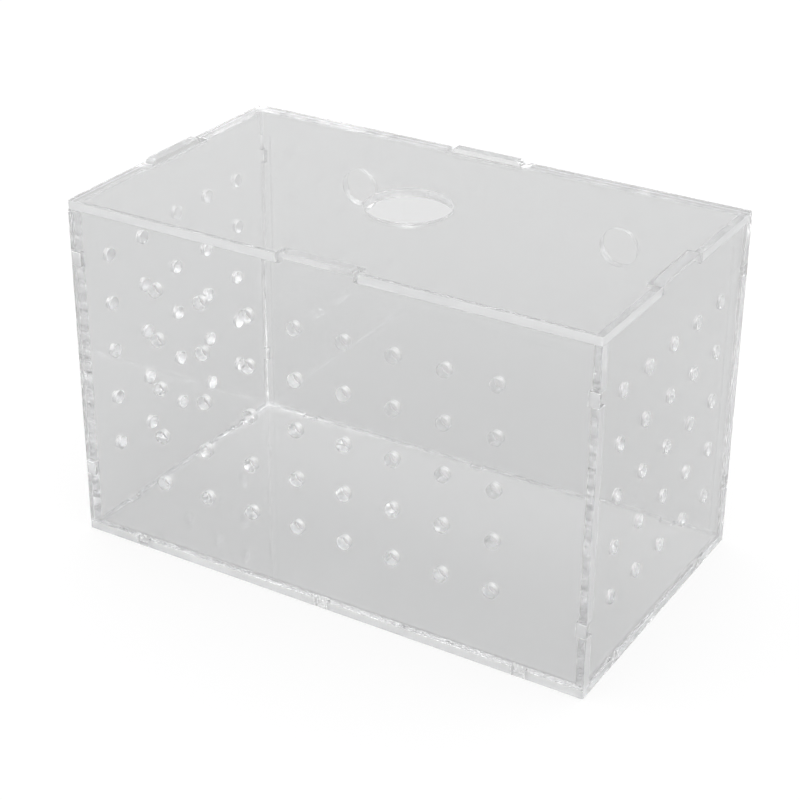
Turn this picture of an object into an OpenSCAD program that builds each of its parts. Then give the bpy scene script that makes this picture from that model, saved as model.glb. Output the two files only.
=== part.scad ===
// Fish breeding box: a tank-side box of six panels laser-cut from clear acrylic sheet.
// Small tabs lock the bottom panel and the four walls together. A wider tab on top of
// each wall stands in a notch of the lid, which lifts straight off.
// The front faces -Y, and the origin is under the middle of the box.

/* [Box] */
// Outer width of the box, from left to right
box_w = 161; // [135:1:240]
// Outer depth of the box, from front to back
box_d = 91.5; // [80:0.5:160]
// Height of the walls above the bottom panel
wall_h = 98.5; // [85:0.5:150]
// Thickness of the sheet that the walls are cut from
wall_t = 3; // [2:0.5:5]
// Thickness of the bottom panel
floor_t = 2.5; // [2:0.5:5]
// Width of the glue line between two joined panels
seam = 0.1; // [0.05:0.05:0.3]

/* [Lid] */
// Thickness of the lid
lid_t = 2.5; // [2:0.5:5]
// Radius of the four corners of the lid
lid_corner_r = 0.5; // [0.5:0.5:5]
// Diameter of the feeding hole in the middle of the lid
feed_hole_d = 24.5; // [10:0.5:50]
// Gap between the underside of the lid and the top edges of the walls
lid_seat_gap = 0.1; // [0.05:0.05:0.3]
// Play between each lid tab and its notch in the lid
lid_clearance = 1.2; // [0.2:0.1:2]

/* [Lid tabs] */
// Width of the tab on top of each wall
lid_tab_w = 22.6; // [10:0.2:40]
// Height of the tab above the upper face of the lid
lid_tab_proud = 0.8; // [0:0.2:4]
// Radius of the two upper corners of the tab
lid_tab_r = 1.5; // [0.5:0.25:2]

/* [Joint tabs] */
// Width of the small tabs that join the walls and the bottom panel
joint_tab_w = 4; // [3:0.2:8]
// Distance from the outside of the box to the middle of the outer floor tabs
floor_tab_inset = 19; // [12:0.5:24]
// Height of the middle of the lower corner tab above the bottom panel
corner_tab_rise = 18; // [8:0.5:30]
// Distance from the middle of the upper corner tab down from the wall's top edge
corner_tab_drop = 14.5; // [8:0.5:30]

/* [Vent holes] */
// Diameter of a vent hole
vent_d = 4; // [2:0.5:8]
// Distance between neighbouring vent holes, both ways
vent_pitch = 15; // [10:0.5:17]
// Rows of vent holes, one above another
vent_rows = 5; // [1:1:5]
// Columns of vent holes in the front wall
front_vent_columns = 8; // [1:1:8]
// Columns of vent holes in each side wall
side_vent_columns = 5; // [1:1:5]
// Height of the lowest row above the bottom panel
vent_rise = 20.7; // [10:0.1:22]
// Distance that the side walls' vent holes stand nearer the front than the middle
side_vent_shift = 1.2; // [-2:0.2:2]

/* [Suction cup holes] */
// Diameter of the two holes in the back wall that take suction cups
cup_hole_d = 11.5; // [5:0.5:18]
// Distance from the outside of the box to the middle of each cup hole
cup_hole_inset = 37.5; // [20:0.5:50]
// Distance from the wall's top edge down to the middle of each cup hole
cup_hole_drop = 17.5; // [12:0.5:40]

/* [Hidden] */
$fn = 48;

// Clear acrylic with a faint grey tone
acrylic = [0.80, 0.84, 0.86, 0.45];
// How far a cut runs past the edge that it opens
cut_over = 1;
// How far a tab reaches into its own panel
tab_root = 1;

// Heights above the surface that the box stands on
wall_bottom = floor_t + seam;
wall_top = floor_t + wall_h;
lid_bottom = wall_top + lid_seat_gap;
lid_top = lid_bottom + lid_t;
lid_tab_top = lid_top + lid_tab_proud;

// The side walls stand between the front and back walls
inner_wall_d = box_d - 2 * (wall_t + seam);

// Middles of the joint tabs, measured from the middle of the box
long_floor_tabs = [-(box_w / 2 - floor_tab_inset), 0, box_w / 2 - floor_tab_inset];
short_floor_tabs = [-(box_d / 2 - floor_tab_inset), box_d / 2 - floor_tab_inset];
corner_tabs = [floor_t + corner_tab_rise, wall_top - corner_tab_drop];

// A rectangle centred on x, from y0 up to y1
module slab(w, y0, y1, x = 0) {
    translate([x - w / 2, y0]) square([w, y1 - y0]);
}

// The wide tab on top of a wall, with two rounded upper corners
module lid_tab() {
    slab(lid_tab_w, wall_top - tab_root, lid_tab_top - lid_tab_r);
    slab(lid_tab_w - 2 * lid_tab_r, wall_top - tab_root, lid_tab_top);
    for (side = [-1, 1])
        translate([side * (lid_tab_w / 2 - lid_tab_r), lid_tab_top - lid_tab_r]) circle(r = lid_tab_r);
}

// What every wall has: the sheet, its lid tab and its floor tabs
module wall_outline(w, floor_tabs) {
    slab(w, wall_bottom, wall_top);
    lid_tab();
    for (x = floor_tabs) slab(joint_tab_w, 0, wall_bottom + tab_root, x);
}

// A front or back wall, with notches in both upright edges for the corner tabs
module long_wall_outline() {
    depth = wall_t + seam + cut_over;
    difference() {
        wall_outline(box_w, long_floor_tabs);
        for (side = [-1, 1], z = corner_tabs)
            translate([side * (box_w / 2 + cut_over - depth / 2), z])
                square([depth, joint_tab_w + 2 * seam], center = true);
    }
}

// A side wall, whose corner tabs reach to the outside of the front and back walls
module side_wall_outline() {
    tab_reach = wall_t + seam + tab_root;
    difference() {
        wall_outline(inner_wall_d, short_floor_tabs);
        translate([-side_vent_shift, 0]) vents(side_vent_columns);
    }
    for (side = [-1, 1], z = corner_tabs)
        translate([side * (box_d - tab_reach) / 2, z]) square([tab_reach, joint_tab_w], center = true);
}

// A grid of vent holes, centred across the wall
module vents(columns) {
    for (column = [0 : columns - 1], row = [0 : vent_rows - 1])
        translate([(column - (columns - 1) / 2) * vent_pitch, floor_t + vent_rise + row * vent_pitch])
            circle(d = vent_d);
}

// The two holes for suction cups
module cup_holes() {
    for (side = [-1, 1])
        translate([side * (box_w / 2 - cup_hole_inset), wall_top - cup_hole_drop]) circle(d = cup_hole_d);
}

// Stands an outline up as a sheet across the box, with its front face at y
module stand_across(y) {
    translate([0, y + wall_t, 0]) rotate([90, 0, 0]) linear_extrude(wall_t) children();
}

// Stands an outline up as a sheet along the box, with its left face at x
module stand_along(x) {
    translate([x, 0, 0]) rotate([90, 0, 90]) linear_extrude(wall_t) children();
}

// Notches along the front and back edges of a flat panel, or along its sides
module edge_notches(length, gap, middles, across) {
    depth = wall_t + gap + cut_over;
    for (side = [-1, 1], middle = middles)
        rotate(across ? 0 : 90)
            translate([middle, side * ((across ? box_d : box_w) / 2 + cut_over - depth / 2)])
                square([length + 2 * gap, depth], center = true);
}

module bottom_panel() {
    color(acrylic) linear_extrude(floor_t) difference() {
        square([box_w, box_d], center = true);
        edge_notches(joint_tab_w, seam, long_floor_tabs, true);
        edge_notches(joint_tab_w, seam, short_floor_tabs, false);
    }
}

module front_wall() {
    color(acrylic) stand_across(-box_d / 2) difference() {
        long_wall_outline();
        vents(front_vent_columns);
    }
}

module back_wall() {
    color(acrylic) stand_across(box_d / 2 - wall_t) difference() {
        long_wall_outline();
        cup_holes();
    }
}

module left_wall() {
    color(acrylic) stand_along(-box_w / 2) side_wall_outline();
}

module right_wall() {
    color(acrylic) stand_along(box_w / 2 - wall_t) side_wall_outline();
}

// A rectangle with rounded corners
module rounded_plate(w, d, r) {
    square([w - 2 * r, d], center = true);
    square([w, d - 2 * r], center = true);
    for (x = [-1, 1], y = [-1, 1]) translate([x * (w / 2 - r), y * (d / 2 - r)]) circle(r = r);
}

module lid() {
    color(acrylic) translate([0, 0, lid_bottom]) linear_extrude(lid_t) difference() {
        rounded_plate(box_w, box_d, lid_corner_r);
        edge_notches(lid_tab_w, lid_clearance, [0], true);
        edge_notches(lid_tab_w, lid_clearance, [0], false);
        circle(d = feed_hole_d);
    }
}

bottom_panel();
front_wall();
back_wall();
left_wall();
right_wall();
lid();
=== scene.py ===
"""Looks for the clear acrylic fish breeding box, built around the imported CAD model."""
import math

import bpy
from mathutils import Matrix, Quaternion, Vector

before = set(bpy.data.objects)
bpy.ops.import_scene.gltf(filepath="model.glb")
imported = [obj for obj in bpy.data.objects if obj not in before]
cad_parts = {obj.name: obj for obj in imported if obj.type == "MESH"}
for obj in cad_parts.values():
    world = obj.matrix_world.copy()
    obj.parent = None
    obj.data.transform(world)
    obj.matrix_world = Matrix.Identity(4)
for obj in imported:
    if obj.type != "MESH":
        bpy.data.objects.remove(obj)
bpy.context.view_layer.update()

MM = 0.001

# The box, in millimetres: half its width and depth, its sheets, the seam between two of them and
# the height of the walls' top edges
HALF_W, HALF_D = 80.5, 45.75
WALL, FLOOR = 3.0, 2.5
SEAM = 0.1
WALL_TOP = 101.0
# Half a seam past a seam, and a little under the walls' top edges, in millimetres
PAST_SEAM, UNDER_RIM = 1.5 * SEAM, 1.0
# Cut edges nearer the middle than this, in millimetres, belong to holes: along the side walls, along
# the front and back walls, and both ways in the lid. In the walls they also lie between two heights.
HOLES_SHORT, HOLES_LONG, HOLES_LID = 41.0, 76.0, 20.0
HOLES_BOTTOM, HOLES_TOP = 6.0, 97.0
# Above the holes, the cut edges that face left or right are the ends of the front and back lid tabs
# and of their notches where they are nearer the middle than the first of these and farther out in
# depth than the second, in millimetres
NOTCHES_WITHIN, NOTCHES_BEYOND = 79.5, 30.0
# How much of a surface's normal has to lie along an axis for the surface to face that way
FACING = 0.9

# Clear acrylic
TINT = (0.97, 0.973, 0.975)
IOR = 1.49
CUT_ROUGHNESS = 0.2
# Painted shade: share of light that comes through the first surface in view, dimmed for camera rays
# only in place of the darker surroundings seen through the box: a flat face of the front, back and
# bottom panels, of the side walls and of the lid, a cut edge, a cut edge of the bottom panel, the
# inside of a hole in a wall, and the inside of the feeding hole
LONG_PAINTED_SHADE, SHORT_PAINTED_SHADE, LID_PAINTED_SHADE = 0.656, 0.585, 0.58
EDGE_PAINTED_SHADE, FLOOR_EDGE_PAINTED_SHADE = 0.55, 0.48
HOLE_PAINTED_SHADE, RIM_PAINTED_SHADE = 0.61, 0.69
# Painted light: how much more of it comes through cut edges that face left or right, except on the
# side walls, so that they look more brightly lit
SIDE_PAINTED_LIGHT = 0.09
# Painted light: the inside of the back wall, in view through the feeding hole, is dimmed less from
# the first of these heights up to the second, in millimetres
INSIDE_PAINTED_LIGHT = 0.77
INSIDE_FROM, INSIDE_TO = 62.0, 72.0
# Share of the light that goes straight on through the insides of the walls' holes, and its tint
HOLE_CLEAR = 0.35
THROUGH = (0.95, 0.952, 0.954, 1.0)
# Matt bloom that the laser leaves: its colour, its share of the cut edges, and its share of the
# insides of holes and the ends of notches, where it is thinner
BLOOM = (0.64, 0.645, 0.65, 1.0)
EDGE_BLOOM, DULL_BLOOM = 0.4, 0.15
# Light on its way to the lamp through clear sheet
SHADE = (0.97, 0.97, 0.97, 1.0)

# Glue: its tint, and the height above which the seams are dry, because it stopped short of the rim,
# in millimetres
GLUE = (0.955, 0.957, 0.96, 1.0)
GLUE_TOP = 93.5
# Share of the upright seams, the seam on the bottom panel and the tabs in their notches that is
# frosted, and how rough that is
SEAM_FROST, FLOOR_FROST, TAB_FROST = 0.12, 0.2, 0.35
FROST_ROUGHNESS = 0.5
# Bubbles: how many to a metre, from and to which level of the noise they grow, and how much more of
# the glue they frost
BUBBLES = 1100.0
BUBBLE_FROM, BUBBLE_TO = 0.525, 0.65
BUBBLE_FROST = 0.6
# Fillets of glue along the corners: their width, in millimetres, their frost, and the frost of the
# ones along the bottom and of the edge of the wetted strip
FILLET = 0.7
FILLET_FROST, LOW_FROST = 0.12, 0.22
# How far from a back corner the glue wetted the wall, in millimetres
WETTED = 2.6

# Backdrop: heights of a direction (the sine of its elevation) from and to which it grows brighter,
# and by how much
WHITE = (1.0, 1.0, 1.0, 1.0)
GLOWS = ((0.10, 0.42, 0.3), (0.42, 0.68, 0.35))
# Light that the world throws on the box
WORLD_LIGHT = (0.35, 0.35, 0.35, 1.0)

# Floor: its size and its height, just under the box, in metres, its paint, and the share of it that
# shows as plain white instead
FLOOR_SIZE, FLOOR_AT = 8.0, -0.0003
FLOOR_PAINT = (0.95, 0.95, 0.95, 1.0)
FLOOR_WHITE = 0.5
# Painted light: a pool of light painted on the floor under the box, which grows between two depths,
# in metres, with its gain in front of the first and behind the second
FLOOR_PAINTED_LIGHT = (-0.025, 0.045, 0.0, 0.27)

# Sun
SUN_STRENGTH = 3.5
SUN_SPREAD = math.radians(25)
SUN_SHINES = Vector((-0.512, 0.859, -1.0))

# Camera
CAMERA_AT = Vector((253.6, -426.3, 305.7)) * MM
CAMERA_LOOKS_AT = Vector((-13.5, 18.48, 45.44)) * MM
CAMERA_ROLL = math.radians(0.393)
CAMERA_LENS, CAMERA_SENSOR = 88.958, 36.0
CAMERA_SHIFT_Y = -0.05

# Light paths through many clear sheets and seams
BOUNCES = 96
SEE_THROUGH_BOUNCES = 32


class Graph:
    """Adds nodes to one material or world, with short calls for the sums that masks need."""

    def __init__(self, owner):
        owner.use_nodes = True
        self.tree = owner.node_tree
        self.tree.nodes.clear()

    def add(self, kind, **values):
        node = self.tree.nodes.new(kind)
        for name, value in values.items():
            setattr(node, name, value)
        return node

    def put(self, value, socket):
        if isinstance(value, bpy.types.NodeSocket):
            self.tree.links.new(value, socket)
        else:
            socket.default_value = value

    def math(self, operation, *values, clamp=False):
        node = self.add("ShaderNodeMath", operation=operation, use_clamp=clamp)
        for i, value in enumerate(values):
            self.put(value, node.inputs[i])
        return node.outputs[0]

    def above(self, value, limit):
        return self.math("GREATER_THAN", value, limit)

    def below(self, value, limit):
        return self.math("LESS_THAN", value, limit)

    def both(self, *masks):
        out = masks[0]
        for mask in masks[1:]:
            out = self.math("MULTIPLY", out, mask)
        return out

    def either(self, *masks):
        out = masks[0]
        for mask in masks[1:]:
            out = self.math("MAXIMUM", out, mask)
        return out

    def rise(self, value, low, high):
        """0 up to low and 1 from high, in a straight line between them."""
        return self.math("MULTIPLY_ADD", value, 1 / (high - low), -low / (high - low), clamp=True)

    def fade(self, start, end, mask):
        """start where the mask is 0 and end where it is 1."""
        return self.math("MULTIPLY_ADD", mask, end - start, start)

    def grow(self, value, low, high, start, gain):
        """start up to low and gain from high, with a soft start and end."""
        node = self.add("ShaderNodeMapRange", interpolation_type="SMOOTHSTEP")
        for socket, item in zip(node.inputs, (value, low, high, start, gain)):
            self.put(item, socket)
        return node.outputs[0]

    def mix(self, factor, first, second):
        node = self.add("ShaderNodeMixShader")
        self.put(factor, node.inputs[0])
        self.put(first, node.inputs[1])
        self.put(second, node.inputs[2])
        return node.outputs[0]

    def split(self, vector):
        node = self.add("ShaderNodeSeparateXYZ")
        self.put(vector, node.inputs[0])
        return node.outputs

    def plain(self, kind, color=None):
        """The output of a shader node that needs no more than a colour."""
        node = self.add(kind)
        if color:
            node.inputs["Color"].default_value = color
        return node.outputs[0]

    def clear_sheet(self, dimming, roughness):
        """A surface of clear acrylic that lets this share of the light through."""
        glass = self.add("ShaderNodeBsdfPrincipled")
        # Light passes with the square root of the base colour
        glass.inputs["Base Color"].default_value = (*[a * dimming ** 2 for a in TINT], 1.0)
        glass.inputs["Transmission Weight"].default_value = 1.0
        glass.inputs["IOR"].default_value = IOR
        glass.inputs["Roughness"].default_value = roughness
        return glass.outputs[0]


class Sheet(Graph):
    """The graph of one sheet's material. It knows where on the box a point lies, which way the surface
    faces there, and whether it is the first surface in view."""

    def __init__(self, material, across, haze, edge_haze):
        super().__init__(material)
        self.across, self.haze, self.edge_haze = across, haze, edge_haze
        self.place = self.add("ShaderNodeTexCoord").outputs
        self.path = self.add("ShaderNodeLightPath").outputs
        self.seen_first = self.path["Is Camera Ray"]
        _, self.depth, self.height = self.split(self.place["Object"])
        _, self.toward_back, _ = self.split(self.place["Normal"])
        at = self.split(self.place["Object"])
        self.x, self.y, self.z = [self.math("ABSOLUTE", v) for v in at]
        self.facing = {axis: self.above(self.math("ABSOLUTE", v), FACING)
                       for axis, v in zip("xyz", self.split(self.place["Normal"]))}

    def faces(self):
        """The two flat faces."""
        # Painted shade: seen first, a flat face is dimmed for camera rays only
        shown = self.clear_sheet(self.haze, 0.0)
        # Painted light: a lighter band on the inside of the back wall, behind the feeding hole
        if self.across == "y":
            painted_lighter_band = self.both(self.above(self.depth, 0.0), self.below(self.toward_back, 0.0),
                                self.rise(self.height, INSIDE_FROM * MM, INSIDE_TO * MM))
            shown = self.mix(painted_lighter_band, shown, self.clear_sheet(INSIDE_PAINTED_LIGHT, 0.0))
        return self.mix(self.seen_first, self.clear_sheet(1.0, 0.0), shown)

    def in_hole(self):
        """1 on the cut edges inside the holes."""
        if self.across == "z":
            return self.both(self.below(self.x, HOLES_LID * MM), self.below(self.y, HOLES_LID * MM))
        along, reach = (self.y, HOLES_SHORT) if self.across == "x" else (self.x, HOLES_LONG)
        return self.both(self.below(along, reach * MM), self.above(self.z, HOLES_BOTTOM * MM),
                         self.below(self.z, HOLES_TOP * MM))

    def cut_edges(self):
        """The edges that the laser cut, rough and with a matt bloom where they are in view."""
        in_hole = self.in_hole()
        # Painted shade: seen first, cut edges and the insides of holes are dimmed for camera rays only
        shown = self.clear_sheet(self.edge_haze, CUT_ROUGHNESS)
        # Painted light: cut edges that face left or right are dimmed less
        if self.across != "x":
            sideways_painted_light = self.clear_sheet(self.edge_haze + SIDE_PAINTED_LIGHT, CUT_ROUGHNESS)
            shown = self.mix(self.facing["x"], shown, sideways_painted_light)
        hole_haze = RIM_PAINTED_SHADE if self.across == "z" else HOLE_PAINTED_SHADE
        shown = self.mix(in_hole, shown, self.clear_sheet(hole_haze, CUT_ROUGHNESS))
        notch_end = self.both(self.facing["x"], self.below(self.x, NOTCHES_WITHIN * MM),
                              self.above(self.y, NOTCHES_BEYOND * MM),
                              self.above(self.z, HOLES_TOP * MM))
        share = self.fade(EDGE_BLOOM, DULL_BLOOM, self.either(notch_end, in_hole))
        shown = self.mix(share, shown, self.plain("ShaderNodeBsdfDiffuse", BLOOM))
        edge = self.mix(self.seen_first, self.clear_sheet(1.0, CUT_ROUGHNESS), shown)
        if self.across != "z":
            through = self.plain("ShaderNodeBsdfTransparent", THROUGH)
            edge = self.mix(self.math("MULTIPLY", in_hole, HOLE_CLEAR), edge, through)
        return edge

    def add_glue(self, surface):
        """Glue in the seams, which pass light straight on, and in fillets inside the box."""
        x, y, z = self.x, self.y, self.z
        facing_x, facing_y, facing_z = [self.facing[axis] for axis in "xyz"]
        # Depth of a wall and the seam behind it
        near = WALL + PAST_SEAM
        outer_x = self.above(x, (HALF_W - near) * MM)
        outer_y = self.above(y, (HALF_D - near) * MM)
        # All but the outside of the box
        inner_x = self.math("SUBTRACT", 1.0, self.above(x, (HALF_W - SEAM) * MM))
        inner_y = self.math("SUBTRACT", 1.0, self.above(y, (HALF_D - SEAM) * MM))
        above_floor = self.above(z, (FLOOR + PAST_SEAM) * MM)
        at_floor = self.both(self.above(z, (FLOOR - SEAM / 2) * MM),
                             self.below(z, (FLOOR + PAST_SEAM) * MM))
        under_rim = self.below(z, (WALL_TOP - UNDER_RIM) * MM)
        wet = self.below(z, GLUE_TOP * MM)

        # Upright seams between the ends of the side walls and the front and back walls
        upright = self.both(facing_y, outer_x, outer_y, inner_y, above_floor)
        # Corner tabs in their notches
        corner_tab = self.both(outer_x, outer_y, above_floor, under_rim,
                               self.either(facing_z, self.both(facing_x, inner_x)))
        # Walls on the bottom panel, and the floor tabs in its notches
        floor = self.both(facing_z, at_floor, self.either(outer_x, outer_y))
        floor_tab = self.both(self.below(z, FLOOR * MM),
                              self.either(self.both(facing_x, inner_x), self.both(facing_y, inner_y)))
        tab = self.either(corner_tab, floor_tab)
        seam = self.either(self.both(upright, wet), floor, tab)

        clear = self.mix(floor, self.plain("ShaderNodeBsdfTransparent"),
                         self.plain("ShaderNodeBsdfTransparent", GLUE))
        noise = self.add("ShaderNodeTexNoise")
        noise.inputs["Scale"].default_value = BUBBLES
        self.put(self.place["Object"], noise.inputs["Vector"])
        bubble = self.rise(noise.outputs["Fac"], BUBBLE_FROM, BUBBLE_TO)
        bubbly = self.both(self.math("MULTIPLY", bubble, BUBBLE_FROST), self.either(tab, floor))
        frosted = self.fade(SEAM_FROST, FLOOR_FROST, floor)
        frosted = self.math("MULTIPLY_ADD", tab, TAB_FROST - SEAM_FROST, frosted)
        frosted = self.math("ADD", frosted, bubbly, clamp=True)
        frost = self.clear_sheet(1.0, FROST_ROUGHNESS)
        surface = self.mix(seam, surface, self.mix(frosted, clear, frost))

        # Fillets along the bottom panel and beside the back corners, and the edge of the wetted strip
        within_x = self.below(x, (HALF_W - near) * MM)
        within_y = self.below(y, (HALF_D - near) * MM)
        at_back = self.above(self.depth, 0.0)
        beside_x = self.both(within_x, self.above(x, (HALF_W - near - FILLET) * MM))
        beside_y = self.both(within_y, self.above(y, (HALF_D - near - FILLET) * MM))
        wetted = self.both(self.above(x, (HALF_W - near - WETTED) * MM),
                           self.below(x, (HALF_W - near - WETTED + FILLET) * MM))
        low = self.below(z, (FLOOR + SEAM + FILLET) * MM)
        on_long = self.both(facing_y, self.below(y, (HALF_D - WALL / 2) * MM), within_x, above_floor,
                            self.either(self.both(self.either(beside_x, wetted), at_back), low))
        on_short = self.both(facing_x, self.below(x, (HALF_W - WALL / 2) * MM), within_y, above_floor,
                             self.either(self.both(beside_y, at_back), low))
        on_floor = self.both(facing_z, at_floor, within_x, within_y, self.either(beside_x, beside_y))
        fillet = self.both(self.either(on_long, on_short, on_floor), wet)
        share = self.fade(FILLET_FROST, LOW_FROST, self.either(low, wetted))
        # Painted shade: seen first, the frosted fillets take the sheet's painted shade
        frost = self.mix(self.seen_first, self.clear_sheet(1.0, FROST_ROUGHNESS),
                         self.clear_sheet(self.haze, FROST_ROUGHNESS))
        return self.mix(self.both(fillet, share), surface, frost)


def acrylic(name, across, haze, edge_haze, glued):
    """Clear acrylic sheet, with its two faces across one axis and its cut edges along the others."""
    material = bpy.data.materials.new(name)
    sheet = Sheet(material, across, haze, edge_haze)
    surface = sheet.mix(sheet.facing[across], sheet.cut_edges(), sheet.faces())
    if glued:
        surface = sheet.add_glue(surface)
    # Light reaches what lies behind clear sheet, a little weakened
    shade = sheet.plain("ShaderNodeBsdfTransparent", SHADE)
    out = sheet.add("ShaderNodeOutputMaterial")
    sheet.put(sheet.mix(sheet.path["Is Shadow Ray"], surface, shade), out.inputs["Surface"])
    return material


def seen_plain(g):
    """1 for rays that show the backdrop itself: to the camera, in gloss and through clear sheet."""
    path = g.add("ShaderNodeLightPath").outputs
    return g.either(path["Is Camera Ray"], path["Is Glossy Ray"], path["Is Transmission Ray"])


def make_world():
    world = bpy.data.worlds.new("studio")
    g = Graph(world)
    height = g.split(g.add("ShaderNodeTexCoord").outputs["Generated"])[2]
    strength = 1.0
    for low, high, gain in GLOWS:
        strength = g.math("ADD", strength, g.grow(height, low, high, 0.0, gain))
    shown = g.add("ShaderNodeBackground")
    shown.inputs["Color"].default_value = WHITE
    g.put(strength, shown.inputs["Strength"])
    light = g.plain("ShaderNodeBackground", WORLD_LIGHT)
    out = g.add("ShaderNodeOutputWorld")
    g.put(g.mix(seen_plain(g), light, shown.outputs[0]), out.inputs["Surface"])
    bpy.context.scene.world = world


def make_floor():
    bpy.ops.mesh.primitive_plane_add(size=FLOOR_SIZE, location=(0, 0, FLOOR_AT))
    floor = bpy.context.object
    floor.name = "floor"
    material = bpy.data.materials.new("floor_white")
    g = Graph(material)
    white = g.add("ShaderNodeEmission")
    white.inputs["Color"].default_value = WHITE
    x, y, _ = g.split(g.add("ShaderNodeTexCoord").outputs["Object"])
    # Painted light: the floor under the box glows brighter, more so towards the back
    under = g.both(g.below(g.math("ABSOLUTE", x), HALF_W * MM),
                   g.below(g.math("ABSOLUTE", y), HALF_D * MM))
    strength = g.math("MULTIPLY_ADD", under, g.grow(y, *FLOOR_PAINTED_LIGHT), 1.0)
    g.put(strength, white.inputs["Strength"])
    paint = g.plain("ShaderNodeBsdfDiffuse", FLOOR_PAINT)
    out = g.add("ShaderNodeOutputMaterial")
    share = g.math("MULTIPLY", seen_plain(g), FLOOR_WHITE)
    g.put(g.mix(share, paint, white.outputs[0]), out.inputs["Surface"])
    floor.data.materials.append(material)


def make_sun():
    data = bpy.data.lights.new("sun", "SUN")
    data.energy, data.angle = SUN_STRENGTH, SUN_SPREAD
    lamp = bpy.data.objects.new("sun", data)
    lamp.rotation_euler = SUN_SHINES.to_track_quat("-Z", "Y").to_euler()
    bpy.context.collection.objects.link(lamp)


def make_camera():
    data = bpy.data.cameras.new("camera")
    data.lens, data.sensor_width = CAMERA_LENS, CAMERA_SENSOR
    data.shift_y = CAMERA_SHIFT_Y
    camera = bpy.data.objects.new("camera", data)
    camera.location = CAMERA_AT
    aim = (CAMERA_LOOKS_AT - CAMERA_AT).to_track_quat("-Z", "Y")
    camera.rotation_euler = (aim @ Quaternion((0, 0, 1), CAMERA_ROLL)).to_euler()
    bpy.context.collection.objects.link(camera)
    bpy.context.scene.camera = camera


lid_sheet = acrylic("clear_acrylic_lid", "z", LID_PAINTED_SHADE, EDGE_PAINTED_SHADE, glued=False)
floor_sheet = acrylic("clear_acrylic_bottom", "z", LONG_PAINTED_SHADE, FLOOR_EDGE_PAINTED_SHADE, glued=True)
long_sheet = acrylic("clear_acrylic_front_back", "y", LONG_PAINTED_SHADE, EDGE_PAINTED_SHADE, glued=True)
short_sheet = acrylic("clear_acrylic_left_right", "x", SHORT_PAINTED_SHADE, EDGE_PAINTED_SHADE, glued=True)
sheets = {"lid": lid_sheet, "bottom_panel": floor_sheet, "front_wall": long_sheet,
          "back_wall": long_sheet, "left_wall": short_sheet, "right_wall": short_sheet}
for node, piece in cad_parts.items():
    piece.data.materials.clear()
    piece.data.materials.append(sheets[node])

make_world()
make_floor()
make_sun()
make_camera()

scene = bpy.context.scene
scene.view_settings.view_transform = "Standard"
scene.cycles.caustics_refractive = False
scene.cycles.caustics_reflective = False
scene.cycles.max_bounces = BOUNCES
scene.cycles.transmission_bounces = BOUNCES
scene.cycles.glossy_bounces = BOUNCES
scene.cycles.transparent_max_bounces = SEE_THROUGH_BOUNCES
